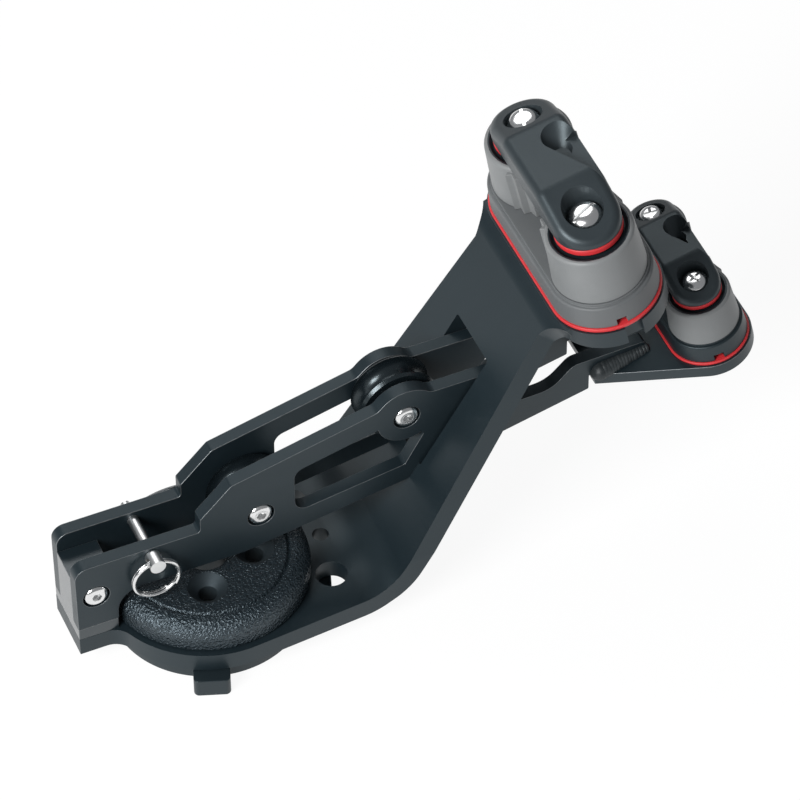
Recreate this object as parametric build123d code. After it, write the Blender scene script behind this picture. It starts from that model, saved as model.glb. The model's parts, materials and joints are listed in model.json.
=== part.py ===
from build123d import *
import math
import os
from types import SimpleNamespace

# A swivelling cam cleat: a ball-raced base carries a folded arm with two sheaves and two cam cleats.
# Millimetres. Z is 0 on the deck and the swivel axis is X = Y = 0. The arm runs along +X.

# Clearances
seat_gap = 0.05
running_gap = 0.05
side_gap = 0.15

# Base: a lugged flange and hub below, a domed cap above, screwed to the deck through both
flange_radius = 27.2
flange_thickness = 5.8
lug_count = 4
lug_first_angle = -20.0
lug_width = 10.0
lug_reach = 33.7
lug_edge_round = 1.5
line_hole_radius = 6.0
deck_bolt_circle = 26.0
deck_bolt_hole_radius = 2.65
countersink_radius = 5.3
countersink_depth = 2.7
dome_radius = 28.3
dome_height = 8.0
dome_shoulder = 4.8
dome_groove_radius = 22.4
dome_groove_width = 1.2
dome_groove_depth = 0.7

# Ball race between the hub and the arm's ring
race_pitch_radius = 21.85
ball_radius = 1.5
ball_count = 32
race_land = 0.95

# Main arm: one folded plate
plate_thickness = 5.8
plate_gap = 0.4
dome_gap = 0.5
ring_radius = 30.0
block_length = 11.4
block_dome_gap = 0.7
tongue_end = dome_radius + block_dome_gap + block_length
tongue_half_width = 8.9
tongue_fillet = 6.0
foot_bend_radius = 14.0
crest_bend_radius = 9.5
slope_foot = 42.9
slope_angle = 58.6
foot_half_width = 26.7
crest_half_width = 19.6
platform_tilt = 12.5
platform_height = 80.05
platform_start = 93.07
small_hole_radius = 2.3
small_hole_x = 33.4
side_hole_radius = 4.4
side_hole_x = 30.6
side_hole_y = 14.4
window_half_width = 9.7
window_corner = 0.6
window_low = 26.5
window_high = 58.6
flare_radius = 13.0
side_taper_start = 10.0
platform_margin = 0.5
rim_notch_width = 5.0
rim_notch_depth = 2.3
rim_notch_x = 1.0

# Cheeks: two equal side plates, heights counted from the arm plate's top face
cheek_gap = 10.1
cheek_thickness = 3.85
cheek_foot = 4.0
heel_dome_gap = 0.5
heel = -(dome_radius + heel_dome_gap)
cheek_nose_top = 27.2
cheek_end = 126.0
cheek_tail_top = 45.7
cheek_ear_top = 52.8
cheek_belly = 13.8
cheek_step = [((-4.4, 27.2), 1.2), ((-4.4, 31.8), 0.8), ((4.8, 41.2), 1.5)]
cheek_ear = [((90.9, 52.8), 1.0), ((81.9, 38.3), 1.5), ((98.0, 38.7), 9.0), ((104.6, 45.2), 4.0)]
cheek_under = [((109.3, 34.2), 0.6), ((64.9, 23.7), 0)]
cheek_heel = [((8.0, 13.8), 20.0), ((heel, 13.8), 7.0), ((heel, cheek_foot), 0)]
cheek_nose_round = 3.7
cheek_tail_round = 0.8
slope_meets_cheek = 21.8
hump_left = (-8.0, 51.4)
hump_foot = 1.0
hump_right = 7.0
slot_left = 22.9
slot_low = 22.9
slot_high = 38.6
slot_ramp = [(54.9, 27.8), (60.4, 37.6)]
slot_ramp_round = 1.6
slot_upper_corner = (50.0, 45.1)
window_gap = 0.1
hump_fillet = 3.5
slot_corner = 3.4
hub_land = 8.4
hump_radius = 9.8

# End block between the cheeks' feet, and the screw that holds it down
block_height = 21.3
block_screw_reach = 5.5
block_screw_room = 0.5

# Axles, their screws and the sheaves
end_screw_at = (-tongue_end + block_length / 2, 15.2)
axle_1_at = (13.0, 26.2)
axle_2_at = (55.6, 46.0)
axle_radius = 4.0
side_screw_radius = 2.0
side_head_radius = 3.5
side_head_height = 2.1
side_recess_radius = 3.85
side_recess_depth = 1.7
side_screw_length = 6.5
socket_across = 2.5
socket_depth = 1.3
sheave_radius = 11.2
sheave_groove_radius = 7.6
sheave_rim = 0.9
washer_radius = 5.6
washer_thickness = 0.4

# Release pin and its split ring
pin_at = (-18.4, 24.3)
pin_radius = 1.5
pin_head_radius = 2.2
pin_head_length = 4.4
pin_tip = 2.0
ring_wire = 0.6
ring_mean_radius = 6.4
ring_hole_radius = 1.45

# Lower plate that carries the small cleat, welded to the cheeks' tails
lower_plate_thickness = 4.0
lower_plate_start = 109.3
lower_plate_neck = 9.2
lower_plate_margin = 0.6
weld_leg = 3.2

# The two cleats, heights counted from the face that each stands on
upper = SimpleNamespace(
    name="upper",
    origin_x=108.2,
    post_spacing=38.0,
    gasket_half_width=15.3,
    gasket_thickness=1.2,
    base_half_width=14.8,
    base_height=7.8,
    base_step=1.6,
    cam_foot_radius=12.8,
    cam_top_radius=12.0,
    cam_height=15.2,
    cam_shoulder=1.1,
    dish_radius=10.4,
    dish_depth=0.9,
    tooth_count=6,
    tooth_depth=1.3,
    jaw_gap=0.3,
    post_radius=4.5,
    spring_radius=6.9,
    spring_turns=4,
    spring_pitch=1.05,
    ring_radius=9.3,
    ring_thickness=1.9,
    cover_half_width=9.3,
    cover_height=9.7,
    cover_end_height=2.0,
    cover_plateau=10.8,
    cover_edge_round=2.6,
    cover_foot_bevel=0.4,
    seat_height=2.8,
    eye_radius=4.9,
    eye_at=(4.7, 4.4),
    eye_hole_radius=2.5,
    eye_hole_at=(3.2, 1.4),
    lip_end=(8.4, -13.6),
    screw_radius=2.5,
    head_radius=4.5,
    head_height=2.6,
    recess_radius=6.7,
    drive="slot",
)
lower = SimpleNamespace(
    name="lower",
    origin_x=142.4,
    post_spacing=27.0,
    gasket_half_width=11.4,
    gasket_thickness=0.9,
    base_half_width=10.9,
    base_height=6.1,
    base_step=1.2,
    cam_foot_radius=9.7,
    cam_top_radius=9.0,
    cam_height=11.1,
    cam_shoulder=0.8,
    dish_radius=7.6,
    dish_depth=0.7,
    tooth_count=6,
    tooth_depth=1.0,
    jaw_gap=0.3,
    post_radius=3.4,
    spring_radius=5.3,
    spring_turns=4,
    spring_pitch=0.8,
    ring_radius=6.8,
    ring_thickness=1.3,
    cover_half_width=6.8,
    cover_height=7.1,
    cover_end_height=1.5,
    cover_plateau=7.8,
    cover_edge_round=1.9,
    cover_foot_bevel=0.3,
    seat_height=2.1,
    eye_radius=3.6,
    eye_at=(3.4, 3.2),
    eye_hole_radius=1.8,
    eye_hole_at=(2.3, 1.0),
    lip_end=(6.1, -9.8),
    screw_radius=2.0,
    head_radius=3.5,
    head_height=2.1,
    recess_radius=4.9,
    drive="cross",
)
base_draft = 5.0
base_notch_width = 2.8
base_notch_height = 2.0
base_notch_x = -1.4
spring_clearance = 0.35
eye_bar = 2.6
eye_depth = 4.6
bar_drop = 3.4
slot_turn = {"front": 20.0, "rear": 75.0}
sides = {"front": -1, "rear": 1}

# Values that follow from the ones above
plate_top = flange_thickness + plate_gap + plate_thickness
race_height = plate_top - plate_thickness / 2
dome_bottom = plate_top + dome_gap
dome_top = dome_bottom + dome_height
slope = math.radians(slope_angle)
tilt = math.radians(platform_tilt)
crest_run = (platform_height - (platform_start - slope_foot) * math.tan(tilt)) / (math.tan(slope) - math.tan(tilt))
slope_crest = slope_foot + crest_run
crest_height = crest_run * math.tan(slope)
cheek_face = cheek_gap / 2
cheek_outer = cheek_face + cheek_thickness
upper_origin_z = crest_height + (upper.origin_x - slope_crest) * math.tan(tilt)
lower_origin_z = 46.5


def across(sketch, low, high):
    """Extrude an XZ sketch from y = low to y = high."""
    return Pos(0, high, 0) * extrude(Plane.XZ * sketch, amount=high - low)


def rod_across(place, radius, low, high):
    """A rod along Y at an x, z place."""
    return across(Pos(*place) * Circle(radius), low, high)


def nearest(shape, x, y):
    """The vertex of a sketch that lies nearest to a point."""
    return shape.vertices().sort_by_distance((x, y, 0))[0]


def tilted(x, z):
    """The frame of a face that rises towards +X at the platform's tilt."""
    return Plane(origin=(x, 0, z), x_dir=(math.cos(tilt), 0, math.sin(tilt)),
                 z_dir=(-math.sin(tilt), 0, math.cos(tilt)))


upper_plane = tilted(upper.origin_x, upper_origin_z)
lower_plane = tilted(lower.origin_x, lower_origin_z)


def race_column(side, low, high):
    """A round column grooved for the balls: the hub (side -1) or the room inside the arm's ring (side 1)."""
    groove = ball_radius + running_gap
    radius = race_pitch_radius + side * race_land
    half = math.sqrt(groove ** 2 - race_land ** 2)
    section = make_face(
        Polyline((0, high), (0, low), (radius, low), (radius, race_height - half))
        + ThreePointArc((radius, race_height - half), (race_pitch_radius + side * groove, race_height),
                        (radius, race_height + half))
        + Polyline((radius, race_height + half), (radius, high), (0, high)))
    return revolve(Plane.XZ * section, Axis.Z)


def deck_bolt_places():
    """The four deck screws, in line with the lugs."""
    return PolarLocations(deck_bolt_circle / 2, lug_count, start_angle=lug_first_angle)


def make_base_flange():
    flange = Cylinder(flange_radius, flange_thickness, align=(Align.CENTER, Align.CENTER, Align.MIN))
    lug = Pos(lug_reach / 2, 0, flange_thickness / 2) * Box(lug_reach, lug_width, flange_thickness)
    face_edges = lug.edges().filter_by(Axis.Z).group_by(Axis.X)[-1]
    lug = fillet(face_edges, lug_edge_round)
    for i in range(lug_count):
        flange += Rot(0, 0, lug_first_angle + i * 360 / lug_count) * lug
    flange += race_column(-1, flange_thickness, dome_bottom)
    flange -= Cylinder(line_hole_radius, 3 * dome_bottom)
    for place in deck_bolt_places():
        flange -= place * Cylinder(deck_bolt_hole_radius, 3 * dome_bottom)
    return flange


def make_base_dome():
    dome = revolve(Plane.XZ * dome_section(), Axis.Z)
    cut = Pos(0, 0, dome_height - countersink_depth / 2) * Cone(
        deck_bolt_hole_radius, countersink_radius, countersink_depth)
    for place in deck_bolt_places():
        dome -= place * cut
        dome -= place * Cylinder(deck_bolt_hole_radius, 3 * dome_height)
    return Pos(0, 0, dome_bottom) * dome


def dome_section():
    """Half section of the domed cap: foot, rounded shoulder, shallow groove and flat top."""
    rim = dome_radius - dome_shoulder
    groove_out = dome_groove_radius + dome_groove_width / 2
    groove_in = dome_groove_radius - dome_groove_width / 2
    floor = dome_height - dome_groove_depth
    lines = (
        Line((line_hole_radius, 0), (dome_radius, 0))
        + Line((dome_radius, 0), (dome_radius, dome_height - dome_shoulder))
        + RadiusArc((dome_radius, dome_height - dome_shoulder), (rim, dome_height), -dome_shoulder)
        + Polyline((rim, dome_height), (groove_out, dome_height), (dome_groove_radius, floor),
                   (groove_in, dome_height), (line_hole_radius + 1.0, dome_height),
                   (line_hole_radius, dome_height - 1.0), (line_hole_radius, 0))
    )
    return make_face(lines)


def make_race_balls():
    balls = [place * Sphere(ball_radius) for place in PolarLocations(race_pitch_radius, ball_count)]
    return Pos(0, 0, race_height) * Compound(children=balls)


def folded_strip():
    """The arm's side view: flat, slope and platform of one thickness, with round bends."""
    reach = 60.0
    top = [(-tongue_end, 0), (slope_foot, 0), (slope_crest, crest_height),
           (slope_crest + reach * math.cos(tilt), crest_height + reach * math.sin(tilt))]
    headings = (0.0, slope, tilt)
    under = []
    for i, (x, z) in enumerate(top):
        before = headings[max(i - 1, 0)]
        after = headings[min(i, 2)]
        half_turn = (after - before) / 2
        mean = (after + before) / 2
        depth = plate_thickness / math.cos(half_turn)
        under.append((x + depth * math.sin(mean), z - depth * math.cos(mean)))
    lines = (
        FilletPolyline(*top, radius=(foot_bend_radius, crest_bend_radius))
        + FilletPolyline(*under, radius=(foot_bend_radius + plate_thickness, crest_bend_radius - plate_thickness))
        + Line(top[0], under[0]) + Line(top[-1], under[-1])
    )
    return make_face(lines)


def flat_outline():
    """The flat in plan: tongue, ring and the sides that run tangent to the foot of the slope."""
    foot = math.hypot(slope_foot, foot_half_width)
    turn = math.atan2(foot_half_width, slope_foot) + math.acos(ring_radius / foot)
    touch = (ring_radius * math.cos(turn), ring_radius * math.sin(turn))
    end = slope_foot + plate_thickness
    plan = Circle(ring_radius) + Polygon(
        touch, (0, 0), (touch[0], -touch[1]), (slope_foot, -foot_half_width), (end, -foot_half_width),
        (end, foot_half_width), (slope_foot, foot_half_width), align=None)
    plan += Pos(-tongue_end / 2, 0) * Rectangle(tongue_end, 2 * tongue_half_width)
    neck = math.sqrt(ring_radius ** 2 - tongue_half_width ** 2)
    corners = [nearest(plan, -neck, s * tongue_half_width) for s in (-1, 1)]
    return fillet(corners, tongue_fillet)


def slope_sides():
    """The slope seen along X: sides that close in towards the crest, once clear of the foot."""
    low, high = foot_half_width, crest_half_width
    bottom, top = -2 * plate_thickness, crest_height + plate_thickness
    side = [(low, bottom), (low, side_taper_start), (high, crest_height), (high, top)]
    return Polygon(*side, *[(-y, z) for y, z in reversed(side)], align=None)


def platform_outline():
    """The platform in its own plane, notched at both ends of its rim."""
    plan = SlotCenterToCenter(upper.post_spacing, 2 * (upper.gasket_half_width + platform_margin), rotation=90)
    for s in (-1, 1):
        rim = s * (upper.post_spacing / 2 + upper.gasket_half_width + platform_margin)
        plan -= Pos(rim_notch_x, rim) * Rectangle(rim_notch_width, 2 * rim_notch_depth)
    return plan


def flare(side):
    """The round corner between the slope's side and the platform's end, seen square to the crease."""
    squash = math.cos((slope - tilt) / 2)
    lean = (slope + tilt) / 2
    end_radius = upper.gasket_half_width + platform_margin
    end_y = upper.post_spacing / 2
    centre_y = crest_half_width + flare_radius
    back = math.sqrt((end_radius + flare_radius) ** 2 - (centre_y - end_y) ** 2)
    centre_x = end_radius - back
    meet = math.atan2(end_y - centre_y, back)
    half_way = (meet - math.pi / 2) / 2
    start = (centre_x * squash, crest_half_width)
    middle, stop = ((squash * (centre_x + flare_radius * math.cos(turn)), centre_y + flare_radius * math.sin(turn))
                    for turn in (half_way, meet))
    inner = flare_radius
    face = make_face(
        ThreePointArc(start, middle, stop)
        + Polyline(stop, (stop[0] + inner, stop[1]), (stop[0] + inner, crest_half_width - inner),
                   (start[0], crest_half_width - inner), start))
    if side < 0:
        face = mirror(face, Plane.XZ)
    crease = Plane(origin=(slope_crest, 0, crest_height), x_dir=(math.cos(lean), 0, math.sin(lean)),
                   z_dir=(-math.sin(lean), 0, math.cos(lean)))
    return extrude(crease * face, amount=3 * plate_thickness, both=True)


def make_main_arm():
    strip = extrude(Plane.XZ * folded_strip(), amount=2 * ring_radius, both=True)
    flat = Pos(0, 0, -plate_thickness) * extrude(flat_outline(), amount=3 * plate_thickness)
    rising = Pos(slope_foot + plate_thickness, 0, 0) * extrude(
        Plane.YZ * slope_sides(), amount=upper.origin_x - slope_foot)
    platform = upper_plane * extrude(platform_outline(), amount=-plate_thickness)
    arm = (strip & (flat + rising + flare(1) + flare(-1))) + platform
    arm -= Pos(0, 0, -plate_top) * race_column(1, 0, 2 * plate_top)
    arm -= Pos(small_hole_x, 0) * Cylinder(small_hole_radius, 4 * plate_thickness)
    for s in (-1, 1):
        arm -= Pos(side_hole_x, s * side_hole_y) * Cylinder(side_hole_radius, 4 * plate_thickness)
        arm -= upper_plane * Pos(0, s * upper.post_spacing / 2) * Cylinder(
            upper.screw_radius + seat_gap, 4 * plate_thickness)
    slope_plane = Plane(origin=(slope_foot, 0, 0), x_dir=(math.cos(slope), 0, math.sin(slope)),
                        z_dir=(-math.sin(slope), 0, math.cos(slope)))
    low, high = (h / math.sin(slope) for h in (window_low, window_high))
    window = Pos((low + high) / 2, 0) * RectangleRounded(high - low, 2 * window_half_width, window_corner)
    arm -= slope_plane * extrude(window, amount=2 * plate_thickness, both=True)
    block_middle = -tongue_end + block_length / 2
    arm -= Pos(block_middle, 0) * Cylinder(side_screw_radius + seat_gap, 4 * plate_thickness)
    arm -= Pos(block_middle, 0, -plate_thickness) * Cylinder(side_recess_radius, 2 * side_head_height)
    return arm


def cheek_outline():
    """One cheek seen from the side: nose, step, ramp, axle hump, ear and welded tail."""
    plate_x = slope_foot - seat_gap
    run = math.tan(slope)

    def on_slope(z):
        return (plate_x + z / run, z)

    lip = window_low + window_gap
    lower_top = lower_origin_z + seat_gap
    rise = math.tan(tilt)
    x, z = axle_2_at
    points = [
        ((-tongue_end, cheek_foot), 0), ((-tongue_end, cheek_nose_top), cheek_nose_round), *cheek_step,
        ((x + hump_left[0], hump_left[1]), 0), ((x, z + hump_foot), 0), ((x + hump_right, cheek_ear_top), 0),
        *cheek_ear, ((cheek_end, cheek_tail_top), cheek_tail_round),
        ((cheek_end, lower_top + (cheek_end - lower.origin_x) * rise), 0),
        ((lower_plate_start, lower_top + (lower_plate_start - lower.origin_x) * rise), 0),
        *cheek_under, (on_slope(lip), 0), (on_slope(slope_meets_cheek), 0), *cheek_heel,
    ]
    outline = make_face(FilletPolyline(*[p for p, r in points], radius=[r for p, r in points], close=True))
    outline += Pos(x, z) * Circle(hump_radius)
    left = nearest(outline, x - hump_radius, hump_left[1])
    right = nearest(outline, x + hump_right, cheek_ear_top)
    return fillet([left, right], hump_fillet)


def cheek_slot():
    """The long lightening slot, its far corner rounded about the second axle."""
    frame = Polygon((slot_left, slot_low), *slot_ramp, axle_2_at, slot_upper_corner, (slot_left, slot_high),
                    align=None)
    corners = [nearest(frame, slot_left, slot_low), nearest(frame, slot_left, slot_high)]
    frame = fillet(corners, slot_corner)
    frame = fillet(nearest(frame, *slot_ramp[0]), slot_ramp_round)
    return frame - Pos(*axle_2_at) * Circle(hub_land)


def make_front_cheek():
    cheek = across(cheek_outline(), -cheek_outer, -cheek_face)
    cheek -= across(cheek_slot(), -2 * cheek_outer, 0)
    for place in (end_screw_at, axle_1_at, axle_2_at):
        cheek -= rod_across(place, side_screw_radius + seat_gap, -2 * cheek_outer, 0)
        cheek -= rod_across(place, side_recess_radius, -2 * cheek_outer, side_recess_depth - cheek_outer)
    cheek -= rod_across(pin_at, pin_radius + running_gap, -2 * cheek_outer, 0)
    return cheek


def make_end_block():
    width = cheek_gap - 2 * seat_gap
    middle = -tongue_end + block_length / 2
    block = Pos(middle, 0, block_height / 2) * Box(block_length, width, block_height)
    foot_height = cheek_foot - seat_gap
    foot = Pos(middle, 0, foot_height / 2) * Box(block_length, 2 * tongue_half_width, foot_height)
    block = block + foot
    block -= rod_across(end_screw_at, side_screw_radius + seat_gap, -cheek_outer, cheek_outer)
    block -= Pos(middle, 0) * Cylinder(
        side_screw_radius + seat_gap, 2 * (block_screw_reach + block_screw_room))
    return block


def make_block_screw():
    """The screw that holds the end block down, its head sunk in the tongue's underside."""
    middle = -tongue_end + block_length / 2
    head = Pos(middle, 0, -plate_thickness + side_head_height / 2) * Cylinder(side_head_radius, side_head_height)
    shank = Pos(middle, 0, -plate_thickness) * Cylinder(
        side_screw_radius, plate_thickness + block_screw_reach, align=(Align.CENTER, Align.CENTER, Align.MIN))
    socket = Pos(middle, 0, -plate_thickness) * extrude(RegularPolygon(socket_across / math.sqrt(3), 6), socket_depth)
    return head + shank - socket


def domed_head(radius, height, flat):
    """A screw head that stands on Z = 0: a short wall, a domed shoulder and a flat crown."""
    wall = 0.25 * height
    middle = (0.5 * (radius + flat) + 0.14 * radius, 0.5 * (wall + height) + 0.14 * height)
    section = make_face(
        Polyline((0, height), (0, 0), (radius, 0), (radius, wall))
        + ThreePointArc((radius, wall), middle, (flat, height))
        + Line((flat, height), (0, height)))
    return revolve(Plane.XZ * section, Axis.Z)


def make_side_screw(place):
    """A button-head screw in the front cheek; its head stands just proud of the recess."""
    floor = side_recess_depth - cheek_outer
    head = domed_head(side_head_radius, side_head_height, 0.5 * side_head_radius)
    screw = Pos(place[0], floor, place[1]) * Rot(90, 0, 0) * head
    screw += rod_across(place, side_screw_radius, floor - seat_gap, floor + side_screw_length)
    socket = Pos(*place) * RegularPolygon(socket_across / math.sqrt(3), 6)
    return screw - across(socket, floor - 2 * side_head_height, floor - side_head_height + socket_depth)


def make_axle(place):
    length = cheek_face - seat_gap
    axle = rod_across(place, axle_radius, -length, length)
    return axle - rod_across(place, side_screw_radius + seat_gap, -cheek_gap, cheek_gap)


def make_washers(place):
    washers = []
    for s in (-1, 1):
        low, high = sorted((s * (cheek_face - seat_gap), s * (cheek_face - seat_gap - washer_thickness)))
        ring = rod_across(place, washer_radius, low, high) - rod_across(
            place, axle_radius + seat_gap, -cheek_gap, cheek_gap)
        washers.append(ring)
    return Compound(children=washers)


def make_sheave(place):
    """A grooved sheave with a raised hub; it runs on its axle between the two washers."""
    half_width = cheek_face - washer_thickness - side_gap
    flank = half_width - 0.5
    bore = axle_radius + running_gap
    groove = sheave_radius - sheave_groove_radius
    section = make_face(
        Polyline((bore, -half_width), (washer_radius, -half_width), (washer_radius + 0.6, -flank),
                 (sheave_radius - 0.6, -flank), (sheave_radius, -flank + sheave_rim))
        + ThreePointArc((sheave_radius, -flank + sheave_rim), (sheave_groove_radius, 0),
                        (sheave_radius, flank - sheave_rim))
        + Polyline((sheave_radius, flank - sheave_rim), (sheave_radius - 0.6, flank),
                   (washer_radius + 0.6, flank), (washer_radius, half_width), (bore, half_width))
        + Line((bore, half_width), (bore, -half_width)))
    wheel = revolve(Plane.XZ * section, Axis.Z)
    return Pos(place[0], 0, place[1]) * Rot(90, 0, 0) * wheel


def make_release_pin():
    reach = cheek_outer + pin_tip
    head_end = cheek_outer + side_gap + pin_head_length
    pin = rod_across(pin_at, pin_radius, -cheek_outer - side_gap, reach)
    pin += rod_across(pin_at, pin_head_radius, -head_end, -cheek_outer - side_gap)
    x, z = pin_at
    hole = Pos(x, ring_plane_y(), z) * Rot(0, 90, 0) * Cylinder(ring_hole_radius, 4 * pin_head_radius)
    return pin - hole


def ring_plane_y():
    """The split ring hangs in a plane square to the pin, halfway along its head."""
    return -cheek_outer - side_gap - pin_head_length / 2


def make_split_ring():
    """Two turns of wire side by side, as a pair of joined rings through the pin's head."""
    x, z = pin_at
    turns = [Pos(0, 0, s * ring_wire) * Torus(ring_mean_radius, ring_wire + 0.02) for s in (-1, 1)]
    return Pos(x, ring_plane_y(), z - ring_mean_radius) * Rot(90, 0, 0) * (turns[0] + turns[1])


def lower_plate_outline():
    """The lower plate in its own plane: a round-ended seat that narrows to the neck."""
    seat = SlotCenterToCenter(lower.post_spacing, 2 * (lower.gasket_half_width + lower_plate_margin), rotation=90)
    back = (lower_plate_start - lower.origin_x) / math.cos(tilt) + lower_plate_thickness * math.tan(tilt)
    neck = Pos(back + 0.5, 0) * Rectangle(1.0, 2 * lower_plate_neck)
    return make_hull(seat.edges() + neck.edges())


def make_lower_plate():
    plate = lower_plane * extrude(lower_plate_outline(), amount=-lower_plate_thickness)
    for s in (-1, 1):
        plate -= lower_plane * Pos(0, s * lower.post_spacing / 2) * Cylinder(
            lower.screw_radius + seat_gap, 4 * lower_plate_thickness)
    return plate


def make_front_weld():
    """The fillet bead that joins the front cheek's tail to the lower plate, in overlapping ripples."""
    pitch = weld_leg * 0.55
    count = int((cheek_end - lower_plate_start) / math.cos(tilt) / pitch)
    bead = Part()
    for i in range(count):
        along = (cheek_end - lower.origin_x) / math.cos(tilt) - i * pitch
        bead += lower_plane * Pos(along, -cheek_outer, 0) * Sphere(weld_leg)
    bead -= lower_plane * Pos(0, 0, -weld_leg + seat_gap / 2) * Box(200, 200, 2 * weld_leg)
    inside = across(Rectangle(600, 600), -cheek_outer, cheek_outer)
    return bead - inside


def cleat_heights(c):
    """Heights of the faces that the cleat's pieces meet at, from the plate up."""
    base_top = c.gasket_thickness + c.base_height
    cam_foot = base_top + side_gap
    cam_top = cam_foot + c.cam_height
    ring_foot = cam_top + side_gap
    cover_foot = ring_foot + c.ring_thickness
    return SimpleNamespace(base_top=base_top, cam_foot=cam_foot, cam_top=cam_top,
                           ring_foot=ring_foot, cover_foot=cover_foot,
                           cover_top=cover_foot + c.cover_height, seat=cover_foot + c.seat_height)


def post_places(c):
    return [Pos(0, s * c.post_spacing / 2) for s in (-1, 1)]


def long_slot(c, half_width):
    return SlotCenterToCenter(c.post_spacing, 2 * half_width, rotation=90)


def make_gasket(c):
    pad = extrude(long_slot(c, c.gasket_half_width), c.gasket_thickness)
    for place in post_places(c):
        pad -= place * Cylinder(c.screw_radius + seat_gap, 4 * c.gasket_thickness)
    return pad


def make_cleat_base(c):
    """The cleat's footing: a drafted block with a low step round its top and a drain notch at each end."""
    h = cleat_heights(c)
    low = c.base_height - 0.5 * c.base_step
    base = Pos(0, 0, c.gasket_thickness) * extrude(long_slot(c, c.base_half_width), low, taper=base_draft)
    base = fillet(base.faces().sort_by(Axis.Z)[-1].edges(), 0.5 * c.base_step)
    deck = extrude(long_slot(c, c.base_half_width - c.base_step), c.base_height)
    base += Pos(0, 0, c.gasket_thickness) * deck
    for place in post_places(c):
        base -= place * Cylinder(c.screw_radius + seat_gap, 4 * h.base_top)
    for s in (-1, 1):
        end = s * (c.post_spacing / 2 + c.base_half_width)
        base -= Pos(base_notch_x, end, c.gasket_thickness) * Box(
            base_notch_width, 2 * base_notch_height, 2 * base_notch_height)
    return base


def make_post(c, side):
    h = cleat_heights(c)
    post = Cylinder(c.post_radius, h.cover_foot - h.base_top, align=(Align.CENTER, Align.CENTER, Align.MIN))
    post -= Cylinder(c.screw_radius + seat_gap, 4 * h.cover_foot)
    return Pos(0, side * c.post_spacing / 2, h.base_top) * post


def make_cam_ring(c, side):
    h = cleat_heights(c)
    ring = Cylinder(c.ring_radius, c.ring_thickness, align=(Align.CENTER, Align.CENTER, Align.MIN))
    ring -= Cylinder(c.post_radius + seat_gap, 4 * c.ring_thickness)
    return Pos(0, side * c.post_spacing / 2, h.ring_foot) * ring


def jaw_outline(c):
    """The cam's toothed spiral, which widens towards +X so that a pull towards -X tightens it."""
    growth = 0.30
    nearest_turn = math.pi / 2 - math.atan(growth)
    reach = (c.post_spacing / 2 - c.jaw_gap) / math.sin(nearest_turn)
    first, last = math.radians(143), math.radians(64)
    steps = 2 * c.tooth_count
    points = []
    for i in range(steps + 1):
        turn = first + (last - first) * i / steps
        radius = reach * math.exp(growth * (nearest_turn - turn)) - (i % 2) * c.tooth_depth
        points.append((radius * math.cos(turn), radius * math.sin(turn)))
    heel = math.radians(22)
    points.append((c.cam_foot_radius * math.cos(heel), c.cam_foot_radius * math.sin(heel)))
    return Polygon((0, 0), *points, align=None)


def make_cam_spring(c, side):
    """The torsion spring that closes the cam: a close coil round the post, its leg sunk in the base."""
    h = cleat_heights(c)
    wire = c.spring_pitch / 2
    inner = c.post_radius + spring_clearance
    outer = c.spring_radius - wire
    height = c.spring_turns * c.spring_pitch
    profile = Polyline((outer, height), (inner, height), (inner, 0), (outer, 0))
    for i in range(c.spring_turns):
        low = i * c.spring_pitch
        profile += ThreePointArc((outer, low), (outer + wire, low + wire), (outer, low + c.spring_pitch))
    return Pos(0, side * c.post_spacing / 2, h.base_top) * revolve(Plane.XZ * make_face(profile), Axis.Z)


def make_cam(c, side):
    """A toothed cam with a shallow dish in its top and room for its spring below."""
    h = cleat_heights(c)
    top_radius, shoulder = c.cam_top_radius, c.cam_shoulder
    spring_room = c.spring_radius + spring_clearance
    spring_height = c.spring_turns * c.spring_pitch + spring_clearance
    section = make_face(
        Polyline((0, 0), (c.cam_foot_radius, 0), (top_radius, c.cam_height - shoulder))
        + ThreePointArc((top_radius, c.cam_height - shoulder),
                        (top_radius - 0.3 * shoulder, c.cam_height - 0.3 * shoulder),
                        (top_radius - shoulder, c.cam_height))
        + Polyline((top_radius - shoulder, c.cam_height), (c.dish_radius, c.cam_height),
                   (c.dish_radius - c.dish_depth, c.cam_height - c.dish_depth), (0, c.cam_height - c.dish_depth), (0, 0)))
    cam = revolve(Plane.XZ * section, Axis.Z)
    jaw = extrude(jaw_outline(c), c.cam_height - shoulder, dir=(0, 0, 1))
    cam += jaw - Cylinder(c.dish_radius, 4 * c.cam_height)
    cam -= Cylinder(c.post_radius + running_gap, 4 * c.cam_height)
    cam -= Cylinder(spring_room, spring_height, align=(Align.CENTER, Align.CENTER, Align.MIN))
    cam = Pos(0, -c.post_spacing / 2, h.cam_foot) * cam
    return mirror(cam, Plane.XZ) if side > 0 else cam


def cover_blank(c):
    """The cover before its cuts: a long slot in plan under an arch with sloping ends, all its edges round."""
    h = cleat_heights(c)
    end = c.post_spacing / 2 + c.cover_half_width
    low, high = h.cover_foot + c.cover_end_height, h.cover_top
    arch = Polygon((-end, h.cover_foot), (end, h.cover_foot), (end, low), (c.cover_plateau, high),
                   (-c.cover_plateau, high), (-end, low), align=None)
    arch = fillet([nearest(arch, s * c.cover_plateau, high) for s in (-1, 1)], c.cover_plateau / 2)
    blank = Pos(0, 0, h.cover_foot) * extrude(long_slot(c, c.cover_half_width), 2 * c.cover_height)
    blank &= extrude(Plane.YZ * arch, amount=2 * c.cover_half_width, both=True)
    crossing = blank.edges().filter_by(Axis.X)
    rim = [e for e in blank.edges() if e.center().Z > low - seat_gap and e not in crossing]
    blank = fillet(rim, c.cover_edge_round)
    return chamfer(blank.faces().sort_by(Axis.Z)[0].edges(), c.cover_foot_bevel)


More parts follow.
